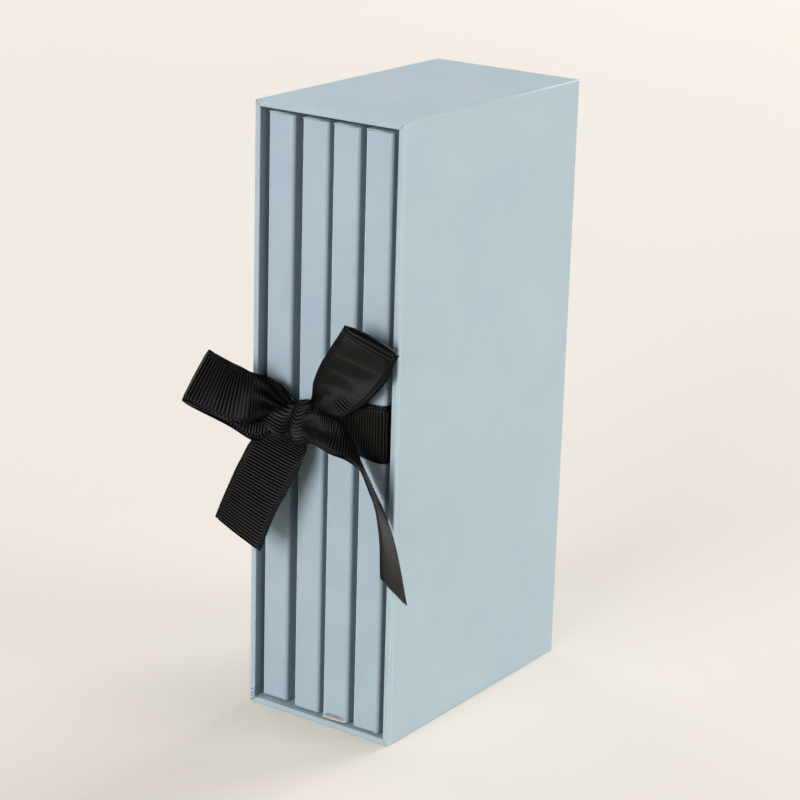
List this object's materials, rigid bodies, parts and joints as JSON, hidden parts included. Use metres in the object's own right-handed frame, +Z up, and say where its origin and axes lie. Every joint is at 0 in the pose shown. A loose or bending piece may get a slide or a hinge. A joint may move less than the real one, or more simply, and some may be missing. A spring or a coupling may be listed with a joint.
{
  "type": "chocolate bar gift box",
  "caption": "Open-fronted paper-covered slipcase holding thin tuck-end cartons of chocolate, tied with a ribbon band and bow; the tied set slides out.",
  "frame": {"origin": "centre of the slipcase's underside, on the surface it stands on", "axes": "+Z up, along the slipcase's height; -Y out of its open narrow front; +X to the right when facing the open front"},
  "size_m": [0.0608, 0.106, 0.172],
  "materials": {
    "greyboard": "uncoated grey chipboard",
    "cover_paper": "pale grey-blue printed paper, soft matt",
    "lining_paper": "pale grey-blue printed paper, matt",
    "carton_board": "pale grey-blue printed paperboard, satin, white cut edges",
    "foil": "bright rolled foil",
    "chocolate": "moulded dark chocolate, satin",
    "ribbon": "black grosgrain with cross ribs"
  },
  "bodies": {
    "slipcase": {"left_greyboard": "greyboard", "right_greyboard": "greyboard", "bottom_greyboard": "greyboard", "top_greyboard": "greyboard", "back_greyboard": "greyboard", "left_cover_paper": "cover_paper", "right_cover_paper": "cover_paper", "bottom_cover_paper": "cover_paper", "top_cover_paper": "cover_paper", "back_cover_paper": "cover_paper", "left_lining_paper": "lining_paper", "right_lining_paper": "lining_paper", "bottom_lining_paper": "lining_paper", "top_lining_paper": "lining_paper", "back_lining_paper": "lining_paper"},
    "carton_1": {"carton_1_sleeve": "carton_board", "carton_1_top_flap": "carton_board", "carton_1_bottom_flap": "carton_board", "carton_1_foil": "foil", "carton_1_chocolate_bar": "chocolate"},
    "carton_2": {"carton_2_sleeve": "carton_board", "carton_2_top_flap": "carton_board", "carton_2_bottom_flap": "carton_board", "carton_2_foil": "foil", "carton_2_chocolate_bar": "chocolate"},
    "carton_3": {"carton_3_sleeve": "carton_board", "carton_3_top_flap": "carton_board", "carton_3_bottom_flap": "carton_board", "carton_3_foil": "foil", "carton_3_chocolate_bar": "chocolate"},
    "carton_4": {"carton_4_sleeve": "carton_board", "carton_4_top_flap": "carton_board", "carton_4_bottom_flap": "carton_board", "carton_4_foil": "foil", "carton_4_chocolate_bar": "chocolate"},
    "ribbon": {"ribbon_band_left": "ribbon", "ribbon_band_right": "ribbon", "ribbon_band_back": "ribbon", "ribbon_band_front_left": "ribbon", "ribbon_band_front_right": "ribbon", "ribbon_knot": "ribbon", "ribbon_left_loop": "ribbon", "ribbon_right_loop": "ribbon", "ribbon_left_tail": "ribbon", "ribbon_right_tail": "ribbon"}
  },
  "joints": [
    {"name": "carton_1_slide", "type": "slide", "parent": "slipcase", "child": "carton_1", "axis": [0, -1, 0], "range_m": [0, 0.085]},
    {"name": "carton_2_slide", "type": "slide", "parent": "slipcase", "child": "carton_2", "axis": [0, -1, 0], "range_m": [0, 0.085]},
    {"name": "carton_3_slide", "type": "slide", "parent": "slipcase", "child": "carton_3", "axis": [0, -1, 0], "range_m": [0, 0.085]},
    {"name": "carton_4_slide", "type": "slide", "parent": "slipcase", "child": "carton_4", "axis": [0, -1, 0], "range_m": [0, 0.085]},
    {"name": "ribbon_slide", "type": "slide", "parent": "slipcase", "child": "ribbon", "axis": [0, -1, 0], "range_m": [0, 0.085]}
  ],
  "couplings": [
    {"joint": "carton_2_slide", "follows": "carton_1_slide", "ratio": 1},
    {"joint": "carton_3_slide", "follows": "carton_1_slide", "ratio": 1},
    {"joint": "carton_4_slide", "follows": "carton_1_slide", "ratio": 1},
    {"joint": "ribbon_slide", "follows": "carton_1_slide", "ratio": 1}
  ]
}
